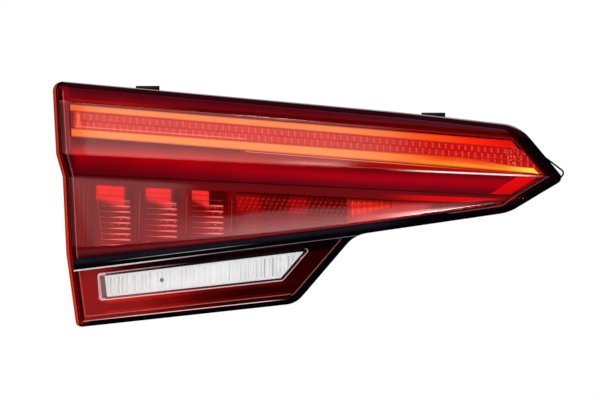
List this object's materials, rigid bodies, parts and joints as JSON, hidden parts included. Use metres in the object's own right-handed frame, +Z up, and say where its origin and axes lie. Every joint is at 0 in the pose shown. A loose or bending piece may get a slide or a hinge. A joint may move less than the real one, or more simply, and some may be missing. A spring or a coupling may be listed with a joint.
{
  "type": "tail light cluster",
  "caption": "Left tailgate tail light cluster: long wedge-shaped red lens with a pointed tip, ring-shaped tail light guide, stop and fog optics, fluted reversing light and studded rear housing.",
  "frame": {"origin": "midway between the two mounting studs, on the plane where the lamp seats on the tailgate", "axes": "+X from the blunt outer end to the pointed tip, +Y forward into the tailgate along the studs, +Z up; the lens faces -Y"},
  "size_m": [0.4037, 0.104, 0.1925],
  "materials": {
    "lens_red": "polished, moulded red, see-through",
    "lens_black": "polished, opaque black",
    "lens_clear": "polished, clear",
    "trim_dark_red": "fine satin, dark red",
    "guide_amber": "polished, amber tinted, light-guiding",
    "optic_red": "polished, red, patterned",
    "reflector_red": "bright metallised, tinted red",
    "optic_clear": "polished, frosted white, fluted",
    "board_white": "white solder mask",
    "led_body": "moulded",
    "screw_steel": "zinc plated",
    "jumper_film": "smooth film",
    "housing_black": "fine moulded texture",
    "stud_zinc": "zinc plated, threaded",
    "connector_grey": "moulded",
    "pin_tin": "tinned",
    "gasket_foam": "open foam",
    "vent_black": "moulded",
    "clip_black": "black phosphated spring steel",
    "lip_rubber": "moulded"
  },
  "bodies": {
    "root": {"red_lens": "lens_red", "black_lens_shot": "lens_black", "clear_reverse_window": "lens_clear", "inner_bezel": "trim_dark_red", "tail_light_guide": "guide_amber", "stop_optic": "optic_red", "fog_reflector": "reflector_red", "fog_optic": "optic_red", "side_optic": "optic_red", "reverse_optic": "optic_clear", "stop_tail_board": "board_white", "fog_board": "board_white", "reverse_board": "board_white", "stop_leds": "led_body", "tail_leds": "led_body", "fog_leds": "led_body", "reverse_leds": "led_body", "board_screws": "screw_steel", "board_jumpers": "jumper_film", "rear_housing": "housing_black", "mounting_studs": "stud_zinc", "connector_socket": "connector_grey", "connector_pins": "pin_tin", "body_gasket": "gasket_foam", "vent_cap": "vent_black", "top_clips": "clip_black", "tip_lip": "lip_rubber"}
  },
  "joints": []
}
